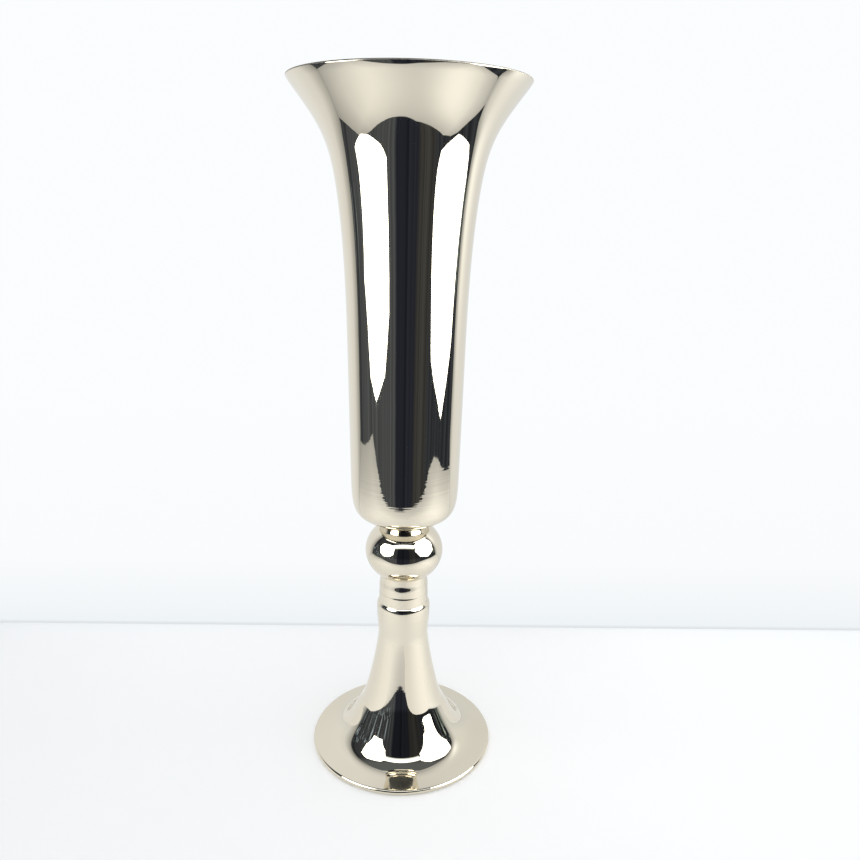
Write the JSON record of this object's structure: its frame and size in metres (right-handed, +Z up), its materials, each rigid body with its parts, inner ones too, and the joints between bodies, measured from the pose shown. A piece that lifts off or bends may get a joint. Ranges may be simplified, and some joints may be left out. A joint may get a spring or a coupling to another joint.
{
  "type": "trumpet vase",
  "caption": "Tall footed trumpet vase of bright nickel-plated spun metal: flared bowl, ball knop, stem collar and bell foot on one tie rod. Stands free and holds flowers and water.",
  "frame": {"origin": "on the table, at the centre of the foot's rim", "axes": "+Z up along the axis of the vase; the vase is round, so +X and +Y are any two level directions"},
  "size_m": [0.1284, 0.1284, 0.4],
  "materials": {
    "nickel": "mirror polished, warm",
    "zinc_steel": "zinc plated",
    "seal_rubber": "matt"
  },
  "bodies": {
    "root": {"trumpet_bowl": "nickel", "neck_ring": "nickel", "knop_ball": "nickel", "stem_collar": "nickel", "bell_foot": "nickel", "tie_rod": "zinc_steel", "bowl_nut": "nickel", "bowl_washer": "nickel", "bowl_seal": "seal_rubber", "foot_washer": "zinc_steel", "spring_washer": "zinc_steel", "foot_nut": "zinc_steel"}
  },
  "joints": []
}
